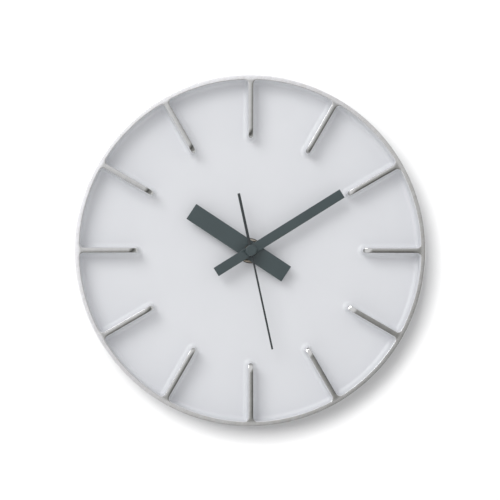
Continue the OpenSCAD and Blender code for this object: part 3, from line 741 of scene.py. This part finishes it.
HAND_CORNER, HAND_CORNER_STEPS, HAND_SPACING = 0.25, 4, 3.0
BORE_EASE, BORE_COUNT = 0.1, 64
SECOND_TIP, SECOND_TAIL = 51.9, 29.9
SECOND_W, SECOND_TAIL_W = 0.95, 1.4
SECOND_EDGE, SECOND_BORE_R = 0.1, 1.0
COLLAR_R, COLLAR_STEPS = 2.0, 16
TIP_CUT, TAIL_CUT = 0.15, 0.2  # corners cut off the second hand's ends
TIP_STOPS, TAIL_STOPS = (5, 10, 20, 30, 40), (6, 12, 18, 24)
CAP_STEM_R, CAP_BORE_R, CAP_SEAT, CAP_COUNT = 1.0, 0.5, 9.2, 72
CAP_EASE, CAP_LOWER_EASE, CAP_BORE_DEPTH = 0.35, 0.15, 0.8


def hand_angle(node):
    """Direction of a hand, from the middle of the two corners at its far end."""
    points = [drawn(v.co).xy for v in frame["nodes"][node].data.vertices]
    reach = max(p.length for p in points)
    ends = [p for p in points if p.length > reach - 0.02]
    middle = sum(ends, Vector((0, 0))) / len(ends)
    return math.atan2(middle.y, middle.x)


def spun(points, angle):
    """An outline turned about the arbor."""
    c, s = math.cos(angle), math.sin(angle)
    return [(x * c - y * s, x * s + y * c) for x, y in points]


def hand_outline(w, tip, tail):
    """A bar along x with square ends and eased corners."""
    points = []
    for x, y, a in ((tip, w / 2, 0), (-tail, w / 2, 90), (-tail, -w / 2, 180), (tip, -w / 2, 270)):
        cx = x - math.copysign(HAND_CORNER, x)
        cy = y - math.copysign(HAND_CORNER, y)
        points += arc((cx, cy), HAND_CORNER, a, a + 90, HAND_CORNER_STEPS)
    return points


def split_sides(outline):
    """The outline with its long sides divided, so that hole and edge join evenly."""
    result = []
    for a, b in zip(outline, outline[1:] + outline[:1]):
        n = max(1, round(math.dist(a, b) / HAND_SPACING))
        result += [(mix(a[0], b[0], i / n), mix(a[1], b[1], i / n)) for i in range(n)]
    return result


def inset(outline, d, w, tip, tail):
    """The same outline, drawn in by a distance on every side."""
    middle = (tip - tail) / 2
    half = (tip + tail) / 2
    kx, ky = (half - d) / half, (w / 2 - d) / (w / 2)
    return [(middle + (x - middle) * kx, y * ky) for x, y in outline]


def plate(b, rows, hole):
    """A flat piece with a hole, from its edge's rows and its hole's rows."""
    b.strips(rows)
    b.strips(hole)
    b.fill([rows[0], hole[0]])
    b.fill([rows[-1], hole[-1]])


def bar_hand(name, node, w, tip, tail, hole_r, edge):
    """A flat bar hand with eased edges."""
    low, high = drawn_box(node)
    z0, z1 = low.z, high.z
    angle = hand_angle(node)
    outline = split_sides(hand_outline(w, tip, tail))
    part = edge * 0.3
    b = Builder()
    rows = []
    for d, z in ((edge, z0), (part, z0 + part), (0, z0 + edge),
                 (0, z1 - edge), (part, z1 - part), (edge, z1)):
        rows.append(b.ring((*p, z) for p in spun(inset(outline, d, w, tip, tail), angle)))
    wide = hole_r + BORE_EASE
    bore = ((wide, z0), (hole_r, z0 + BORE_EASE), (hole_r, z1 - BORE_EASE), (wide, z1))
    plate(b, rows, [b.circle(r, z, BORE_COUNT) for r, z in bore])
    stand_in(clad(smooth(b.object(name), 50), "hand_paint"), node)


def second_outline(d):
    """The second hand along x, drawn in by a distance."""
    w, tail_w, r = SECOND_W / 2 - d, SECOND_TAIL_W / 2 - d, COLLAR_R - d
    tip, tail = SECOND_TIP - d, -SECOND_TAIL + d
    front, rear = math.asin(w / r), math.asin(tail_w / r)
    steps = [i / COLLAR_STEPS for i in range(COLLAR_STEPS + 1)]
    points = [(tip, -w + TIP_CUT), (tip, w - TIP_CUT), (tip - TIP_CUT, w)]
    points += [(x, w) for x in reversed(TIP_STOPS)]
    points += [polar(r, mix(front, math.pi - rear, t)) for t in steps]
    points += [(-x, tail_w) for x in TAIL_STOPS]
    points += [(tail + TAIL_CUT, tail_w), (tail, tail_w - TAIL_CUT)]
    points += [(tail, -tail_w + TAIL_CUT), (tail + TAIL_CUT, -tail_w)]
    points += [(-x, -tail_w) for x in reversed(TAIL_STOPS)]
    points += [polar(r, mix(math.pi + rear, TAU - front, t)) for t in steps]
    points += [(x, -w) for x in TIP_STOPS]
    return points + [(tip - TIP_CUT, -w)]


def build_second_hand():
    """The thin pointer with its collar and wider tail."""
    low, high = drawn_box("second_hand")
    z0, z1, edge = low.z, high.z, SECOND_EDGE
    angle = hand_angle("second_hand")
    b = Builder()
    rows = []
    for d, z in ((edge, z0), (0, z0 + edge), (0, z1 - edge), (edge, z1)):
        rows.append(b.ring((*p, z) for p in spun(second_outline(d), angle)))
    plate(b, rows, [b.circle(SECOND_BORE_R, z, 32) for z in (z0, z1)])
    blade = clad(smooth(b.object("second_hand_blade"), 50), "second_paint")
    stand_in(blade, "second_hand")


def build_cap():
    """The second hand's round cap, on the stem that presses onto the arbor."""
    low, high = drawn_box("second_hand_cap")
    r, top = (high.x - low.x) / 2, high.z
    seat, ease = CAP_SEAT, CAP_LOWER_EASE
    profile = [(CAP_BORE_R, low.z), (CAP_STEM_R, low.z), (CAP_STEM_R, seat)]
    profile += [(r - ease, seat), (r, seat + ease)]
    profile += arc((r - CAP_EASE, top - CAP_EASE), CAP_EASE, 0, 90, 6)
    profile += [(r * t, top) for t in (0.66, 0.33)]
    b = Builder()
    rings = [b.circle(q, z, CAP_COUNT) for q, z in profile]
    b.strips(rings)
    b.fan(rings[-1])
    bore = [rings[0], b.circle(CAP_BORE_R, seat + CAP_BORE_DEPTH, CAP_COUNT)]
    b.strips(bore)
    b.fan(bore[-1])
    stand_in(clad(smooth(b.object("second_hand_boss"), 40), "hand_paint"), "second_hand_cap")


bar_hand("hour_hand_blade", "hour_hand", w=9.2, tip=36.5, tail=22.0, hole_r=3.2, edge=0.16)
bar_hand("minute_hand_blade", "minute_hand", w=5.0, tip=55.5, tail=21.0, hole_r=2.2, edge=0.14)
build_second_hand()
build_cap()


# ------------------------ other CAD nodes

SHARP = math.radians(35)  # edges above this angle are rounded
EASED = {  # width of the rounding on each node's edges
    "hanger_plate": 0.2, "hanger_screws": 0.08, "dial_washer": 0.08, "dial_nut": 0.12,
    "movement_case": 0.2, "rear_cover": 0.18, "setting_knob": 0.2,
    "hour_hand_bush": 0.08, "minute_hand_bush": 0.05,
}
# pieces under the hands, whose brass is coloured near black as painted shade
UNDER_HAND_SHADE = {"dial_nut", "hour_hand_bush", "minute_hand_bush"}
REBUILT = {"case", "hour_hand", "minute_hand", "second_hand", "second_hand_cap", "battery",
           "threaded_bush"}


def eased_copy(node, width):
    """Replaces a CAD node with a copy whose hard edges are rounded."""
    name = node + "_piece"
    mesh = frame["nodes"][node].data.copy()
    mesh.name = name
    bm = bmesh.new()
    bm.from_mesh(mesh)
    bmesh.ops.remove_doubles(bm, verts=bm.verts, dist=2e-6)
    bmesh.ops.dissolve_limit(bm, angle_limit=math.radians(1), verts=bm.verts, edges=bm.edges)
    sharp = []
    for edge in bm.edges:
        if len(edge.link_faces) == 2 and edge.calc_face_angle(0) > SHARP:
            sharp.append(edge)
    bmesh.ops.bevel(bm, geom=sharp, offset=width * MM, offset_type="OFFSET", segments=2,
                    profile=0.5, affect="EDGES", clamp_overlap=True)
    bmesh.ops.triangulate(bm, faces=bm.faces)
    bmesh.ops.recalc_face_normals(bm, faces=bm.faces)
    bm.to_mesh(mesh)
    bm.free()
    mesh.polygons.foreach_set("material_index", [0] * len(mesh.polygons))
    piece = smooth(in_scene(name, mesh))
    stand_in(clad(piece, "shade_dark_brass" if node in UNDER_HAND_SHADE else NODE_SLOT[node]), node)


for node_name, ease_width in EASED.items():
    eased_copy(node_name, ease_width)
for node_name, node_object in frame["nodes"].items():
    if node_name not in REBUILT and node_name not in EASED:
        clad(node_object, NODE_SLOT[node_name])


# ------------------------ the battery

BATTERY_LOW, BATTERY_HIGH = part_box("battery")
BATTERY_MID = (BATTERY_LOW + BATTERY_HIGH) / 2
NUB_R, NUB_LEN = 2.6, 1.2
JACKET_LIP, JACKET_SINK, ROUND_COUNT = 0.35, 0.25, 72


def lengthwise(x, y, z):
    """A point drawn about the battery's axis, in millimetres, as a point of the frame."""
    return Vector((BATTERY_MID.x + z * MM, BATTERY_MID.y - y * MM, BATTERY_MID.z + x * MM))


def build_battery():
    """Steel ends and a printed jacket whose edges are rolled in over them."""
    half = (BATTERY_HIGH.x - BATTERY_LOW.x) / 2 / MM
    r = (BATTERY_HIGH.z - BATTERY_LOW.z) / 2 / MM
    lip, sink = JACKET_LIP, JACKET_SINK
    shoulder = half - NUB_LEN
    jacket = [(r - 1.1, shoulder - sink), (r - 1.0, shoulder - 0.05)]
    jacket += arc((r - lip, shoulder - lip), lip, 90, 0, 5)
    jacket += [(r, mix(shoulder - lip, -half + lip, i / 6)) for i in range(1, 6)]
    jacket += arc((r - lip, -half + lip), lip, 0, -90, 5)
    jacket += [(r - 1.0, -half + 0.05), (r - 1.1, -half + sink)]
    plus = [(NUB_R + 0.5, shoulder - sink), (NUB_R, shoulder), (NUB_R, half - 0.3)]
    plus += [(NUB_R - 0.3, half), (NUB_R - 1.3, half)]
    minus = [(4.6, -half + sink), (4.2, -half), (2.4, -half), (1.0, -half + 0.05)]
    b = Builder()
    rows = [b.circle(q, z, ROUND_COUNT) for q, z in jacket]
    b.strips(rows)
    plus_end = [rows[0]] + [b.circle(q, z, ROUND_COUNT) for q, z in plus]
    minus_end = [rows[-1]] + [b.circle(q, z, ROUND_COUNT) for q, z in minus]
    for end in (plus_end, minus_end):
        b.strips(end, 1)
        b.fan(end[-1], 1)
    cell = smooth(b.object("battery_cell", lengthwise))
    stand_in(clad(cell, "cell_jacket", "plated_steel"), "battery")


build_battery()


# ------------------------ mouldings of the back

BAY_TOP = drawn(BATTERY_HIGH).y + 1.4
SUNK, RIDGE_EASE = 0.1, 0.1  # depth of a moulding's root, and its rounding
FRAME_GAP, FRAME_W = 1.0, 0.8
LABEL_LOW, LABEL_HIGH, LABEL_W = (-8, 0), (22, 14), 0.7
PINS = ((23.5, 17.2), (-10.5, 17.2), (23.5, -12.2), (-23.5, -7.5))
VENTS = [-3.5 + i * 3.0 for i in range(7)]
PLUS_AT, PLUS_HALF, PLUS_ARM = (24.2, -13.6), 0.35, 1.3
KNOB_RING_R, ARROW_R, ARROW_W = 6.2, 7.8, 0.7
ARROWS = ((282, 318), (258, 232))  # where each arrow starts and ends, in degrees


def rounded(low, high, r, steps=6):
    """Outline of a rectangle with rounded corners."""
    points = []
    for x, y, turn in ((high[0] - r, high[1] - r, 0), (low[0] + r, high[1] - r, 90),
                       (low[0] + r, low[1] + r, 180), (high[0] - r, low[1] + r, 270)):
        points += arc((x, y), r, turn, turn + 90, steps)
    return points


def ridge(b, outer, inner, base, height):
    """A raised frame between two outlines, with its edges eased."""
    middle = [Vector((mix(p[0], q[0], 0.5), mix(p[1], q[1], 0.5))) for p, q in zip(outer, inner)]

    def eased(points):
        moved = []
        for p, q in zip(points, middle):
            moved.append(Vector(p) + (q - Vector(p)).normalized() * RIDGE_EASE)
        return moved

    top = base - height
    rows = [(outer, base + SUNK), (outer, top + RIDGE_EASE), (eased(outer), top),
            (eased(inner), top), (inner, top + RIDGE_EASE), (inner, base + SUNK)]
    rings = [b.ring((q[0], q[1], z) for q in line) for line, z in rows]
    b.strips(rings)
    b.strip(rings[-1], rings[0])


def frame_ridge(b, low, high, w, outer_r, inner_r, base, height):
    """A raised rectangle of a line's width, with rounded corners."""
    inner_low, inner_high = (low[0] + w, low[1] + w), (high[0] - w, high[1] - w)
    ridge(b, rounded(low, high, outer_r), rounded(inner_low, inner_high, inner_r), base, height)


def ring_ridge(b, at, r, width, base, height):
    """A raised ring."""
    outer = arc(at, r + width / 2, 0, 360, 48)[:-1]
    inner = arc(at, r - width / 2, 0, 360, 48)[:-1]
    ridge(b, outer, inner, base, height)


def block(b, outline, base, height):
    """A raised solid of any outline."""
    root = b.ring((x, y, base + SUNK) for x, y in outline)
    top = b.ring((x, y, base - height) for x, y in outline)
    b.strip(root, top)
    b.fill([root])
    b.fill([top])


def bar(b, at, half_w, half_h, r, steps, base, height):
    """A raised bar with rounded ends, about a point."""
    low, high = (at[0] - half_w, at[1] - half_h), (at[0] + half_w, at[1] + half_h)
    block(b, rounded(low, high, r, steps), base, height)


def arrow(at, r, width, start, end):
    """Outline of a bent arrow round a point."""
    wing, point_turn = width * 1.3, math.copysign(9, end - start)
    outer = arc(at, r + width / 2, start, end, 16)
    inner = arc(at, r - width / 2, end, start, 16)
    head = [polar(r + wing, math.radians(end), at),
            polar(r, math.radians(end + point_turn), at),
            polar(r - wing, math.radians(end), at)]
    return outer + head + inner


def cross_outline(at, half, arm):
    """Outline of a plus sign."""
    points = []
    corners = [(half, half), (arm, half), (arm, -half)]
    for _ in range(4):
        points += [(at[0] + x, at[1] + y) for x, y in corners]
        corners = [(y, -x) for x, y in corners]
    return points


def cover_mouldings(knob):
    """The rear cover's frame, label field, knob ring, arrows, pins, vents and signs."""
    low, high = drawn_box("rear_cover")
    base, gap = low.z, FRAME_GAP
    floor_y = max(low.y, BAY_TOP)
    b = Builder()
    frame_ridge(b, (low.x + gap, floor_y + gap), (high.x - gap, high.y - gap), FRAME_W,
                1.6, 0.9, base, 0.45)
    frame_ridge(b, LABEL_LOW, LABEL_HIGH, LABEL_W, 1.5, 0.9, base, 0.4)
    ring_ridge(b, knob, KNOB_RING_R, 0.7, base, 0.5)
    for start, end in ARROWS:
        block(b, arrow(knob, ARROW_R, ARROW_W, start, end), base, 0.4)
    for at in PINS:
        ring_ridge(b, at, 1.6, 0.3, base, 0.12)
    for x in VENTS:
        bar(b, (x, -7), 0.4, 3, 0.35, 3, base, 0.5)
    block(b, cross_outline(PLUS_AT, PLUS_HALF, PLUS_ARM), base, 0.4)
    bar(b, (-PLUS_AT[0], PLUS_AT[1]), PLUS_ARM, PLUS_HALF, 0.2, 3, base, 0.4)
    marks = clad(smooth(b.object("rear_cover_mouldings"), 40), "movement_plastic")
    belongs(marks, "rear_cover")


def knob_mark(knob, base):
    """The setting knob's raised ring and grip bar."""
    b = Builder()
    ring_ridge(b, knob, 3.3, 0.6, base, 0.3)
    bar(b, knob, 2.2, 0.4, 0.39, 4, base, 0.25)
    grip = clad(smooth(b.object("setting_knob_mark"), 40), "knob_plastic")
    belongs(grip, "setting_knob")


def build_mouldings():
    """The raised marks on the movement's back."""
    low, high = drawn_box("setting_knob")
    knob = ((low.x + high.x) / 2, (low.y + high.y) / 2)
    cover_mouldings(knob)
    knob_mark(knob, low.z)


build_mouldings()


# ------------------------ the bush's thread

THREAD_R, THREAD_ROOT_R, THREAD_BORE_R, THREAD_PITCH = 3.95, 3.6, 2.6, 0.75
FLANGE_T, THREAD_FROM, THREAD_END = 0.6, 1.0, 0.3


def build_thread():
    """The bush with its thread, where nut and washer leave it bare."""
    low, high = drawn_box("threaded_bush")
    top, flange = high.z, low.z
    r, root, bore = THREAD_R, THREAD_ROOT_R, THREAD_BORE_R
    profile = [(bore, flange), (high.x, flange), (high.x, flange + FLANGE_T)]
    profile += [(r, flange + FLANGE_T)]
    start = flange + THREAD_FROM
    for i in range(int((top - THREAD_END - start) / THREAD_PITCH)):
        z = start + i * THREAD_PITCH
        profile += [(r, z), (r, z + 0.1), (root, z + 0.37), (root, z + 0.45)]
    profile += [(r, top - 0.35), (r - 0.3, top), (bore + 0.15, top), (bore, top - 0.15)]
    b = Builder()
    rings = [b.circle(q, z, ROUND_COUNT) for q, z in profile]
    b.strips(rings)
    b.strip(rings[-1], rings[0])
    stand_in(clad(smooth(b.object("bush_thread"), 30), "brass"), "threaded_bush")


build_thread()


# ------------------------ stage, light and camera

CENTRE = Vector((ARBOR.x, DIAL_Y, ARBOR.z))
FLOOR_Z = ARBOR.z - 0.75
WALL_GAP = 0.0005  # from the case's rear edge to the backdrop
PLAIN_VIEW = (0.9, 0.9, 0.9, 1)  # the world as the camera sees it
ROOM_LEFT, ROOM_RIGHT = (0.585, 0.585, 0.595, 1), (1.0, 1.0, 1.0, 1)
BAND_AXIS = (0.78, 0, -0.626)  # from the upper left to the lower right
BAND = (  # place along that axis, and brightness
    (-0.05, 1.15), (-0.03, 1.05), (-0.015, 0.85), (0.02, 0.72), (0.04, 0.62), (0.08, 0.46),
    (0.105, 0.40), (0.125, 0.34), (0.145, 0.10), (0.24, 0.10), (0.30, 0.36), (1.0, 0.36),
)
PHOTO_SPAN = 0.25640  # metres across the photograph
VIEW_LEFT, VIEW_UP = math.radians(3.2), math.radians(-1.4)
VIEW_DISTANCE = 1.2
AIM = Vector((ARBOR.x - 0.46 * MM, CASE_LOW.y, ARBOR.z + 0.2 * MM))


def panel(name, centre, across, up, colour, glow=0.0):
    """A flat backdrop or floor, in matt paint."""
    mesh = bpy.data.meshes.new(name)
    c, u, v = Vector(centre), Vector(across), Vector(up)
    mesh.from_pydata([c - u - v, c + u - v, c + u + v, c - u + v], [], [(0, 1, 2, 3)])
    thing = in_scene(name, mesh)
    f = Finish(name + "_matt", colour, 0.9, Specular_IOR_Level=0.1)
    f.shader.inputs["Emission Color"].default_value = (1, 1, 1, 1)
    f.shader.inputs["Emission Strength"].default_value = glow
    mesh.materials.append(f.material)
    return thing, f


def clear_behind(f):
    """Draws a panel on its front side only, so that the clock's back can be seen."""
    sides = f.node("ShaderNodeNewGeometry")
    clear = f.node("ShaderNodeBsdfTransparent")
    both = f.node("ShaderNodeMixShader")
    f.link(sides.outputs["Backfacing"], both.inputs[0])
    f.link(f.shader.outputs[0], both.inputs[1])
    f.link(clear.outputs[0], both.inputs[2])
    f.link(both.outputs[0], f.tree.nodes["Material Output"].inputs["Surface"])


def build_stage():
    """A pale backdrop and a floor that isn't seen in reflections. Returns the backdrop."""
    backdrop, paint = panel("backdrop", (0, WALL_Y + WALL_GAP, FLOOR_Z + 2), (3, 0, 0),
                            (0, 0, 2), (0.52, 0.52, 0.52, 1), 0.02)
    clear_behind(paint)
    floor, _ = panel("floor", (0, 0, FLOOR_Z), (30, 0, 0), (0, 30, 0), (0.8, 0.8, 0.8, 1))
    floor.visible_glossy = False
    return backdrop


def square_light(name, offset, size, power):
    """A square lamp at an offset from the dial's centre, turned towards it."""
    data = bpy.data.lights.new(name, "AREA")
    data.shape = "RECTANGLE"
    data.size = data.size_y = size
    data.energy = power
    lamp = in_scene(name, data)
    lamp.location = CENTRE + Vector(offset)
    lamp.rotation_mode = "QUATERNION"
    lamp.rotation_quaternion = (CENTRE - lamp.location).to_track_quat("-Z", "Y")
    return lamp


def only_for(lamp, thing, state):
    """A group that names one thing as the only one, or as the one left out."""
    group = bpy.data.collections.new(lamp.name + "_link")
    group.objects.link(thing)
    group.collection_objects[0].light_linking.link_state = state
    return group


def build_lights(backdrop):
    """A large key for the clock, a small one for its shadow, and two lamps behind."""
    key = square_light("key", (-1.9, -2.55, 2.0), 2.1, 73.0)
    key.light_linking.receiver_collection = only_for(key, backdrop, "EXCLUDE")
    front = square_light("front", (-0.25, -1.44, 0.17), 0.32, 30.0)
    front.light_linking.receiver_collection = only_for(front, backdrop, "INCLUDE")
    for name, offset, size, power in (("back_left", (-0.9, 1.2, 0.7), 1.0, 13.0),
                                      ("back_right", (1.0, 1.0, 0.2), 0.8, 7.0)):
        rear = square_light(name, offset, size, power)
        rear.light_linking.blocker_collection = only_for(rear, backdrop, "EXCLUDE")


def along(tree, direction, low, high, kind="LINEAR"):
    """A value from 0 to 1 across the world, along a direction."""
    place = tree.nodes.new("ShaderNodeTexCoord")
    dot = tree.nodes.new("ShaderNodeVectorMath")
    dot.operation = "DOT_PRODUCT"
    dot.inputs[1].default_value = direction
    tree.links.new(place.outputs["Generated"], dot.inputs[0])
    span = tree.nodes.new("ShaderNodeMapRange")
    span.interpolation_type = kind
    span.inputs["From Min"].default_value = low
    span.inputs["From Max"].default_value = high
    tree.links.new(dot.outputs["Value"], span.inputs["Value"])
    return span.outputs[0]


def blend(tree, factor, a, b):
    """A mix of two colours, each a colour or a socket."""
    made = tree.nodes.new("ShaderNodeMix")
    made.data_type = "RGBA"
    tree.links.new(factor, made.inputs[0])
    for number, colour in ((MIX_A, a), (MIX_B, b)):
        if isinstance(colour, tuple):
            made.inputs[number].default_value = colour
        else:
            tree.links.new(colour, made.inputs[number])
    return made.outputs[MIX_RESULT]


def soft_band(tree):
    """The wide soft light in front: bright at the upper left and grey at the lower right."""
    ramp = tree.nodes.new("ShaderNodeValToRGB")
    points = ramp.color_ramp.elements
    while len(points) < len(BAND):
        points.new(0.5)
    for point, (at, level) in zip(points, BAND):
        blue = 0.96 if at > 0.03 else 1.01
        point.position = (1 + at) / 2
        point.color = (level, level * 0.99, level * blue, 1)
    tree.links.new(along(tree, BAND_AXIS, -1, 1), ramp.inputs[0])
    return ramp.outputs[0]


def build_world():
    """A dim room with a soft band of light in front, and plain where the camera looks."""
    world = bpy.data.worlds.new("studio")
    bpy.context.scene.world = world
    world.use_nodes = True
    tree = world.node_tree
    room = blend(tree, along(tree, (1, 0, -0.15), -0.1, 0.8, "SMOOTHSTEP"), ROOM_LEFT, ROOM_RIGHT)
    ahead = along(tree, (0, -1, 0), 0.70, 0.93, "SMOOTHSTEP")
    lit = blend(tree, ahead, room, soft_band(tree))
    sight = tree.nodes.new("ShaderNodeLightPath")
    seen = blend(tree, sight.outputs["Is Camera Ray"], lit, PLAIN_VIEW)
    tree.links.new(seen, tree.nodes["Background"].inputs[0])


def build_camera():
    """The photograph's view: a little from the left and from below."""
    data = bpy.data.cameras.new("camera")
    data.sensor_width = 36
    data.lens = data.sensor_width * VIEW_DISTANCE / PHOTO_SPAN
    camera = in_scene("camera", data)
    level = math.cos(VIEW_UP)
    back = Vector((-math.sin(VIEW_LEFT) * level, -math.cos(VIEW_LEFT) * level,
                   math.sin(VIEW_UP)))
    camera.location = AIM + back * VIEW_DISTANCE
    camera.rotation_mode = "QUATERNION"
    camera.rotation_quaternion = (-back).to_track_quat("-Z", "Y")
    bpy.context.scene.camera = camera


build_lights(build_stage())
build_world()
build_camera()
bpy.context.scene.view_settings.view_transform = "Standard"
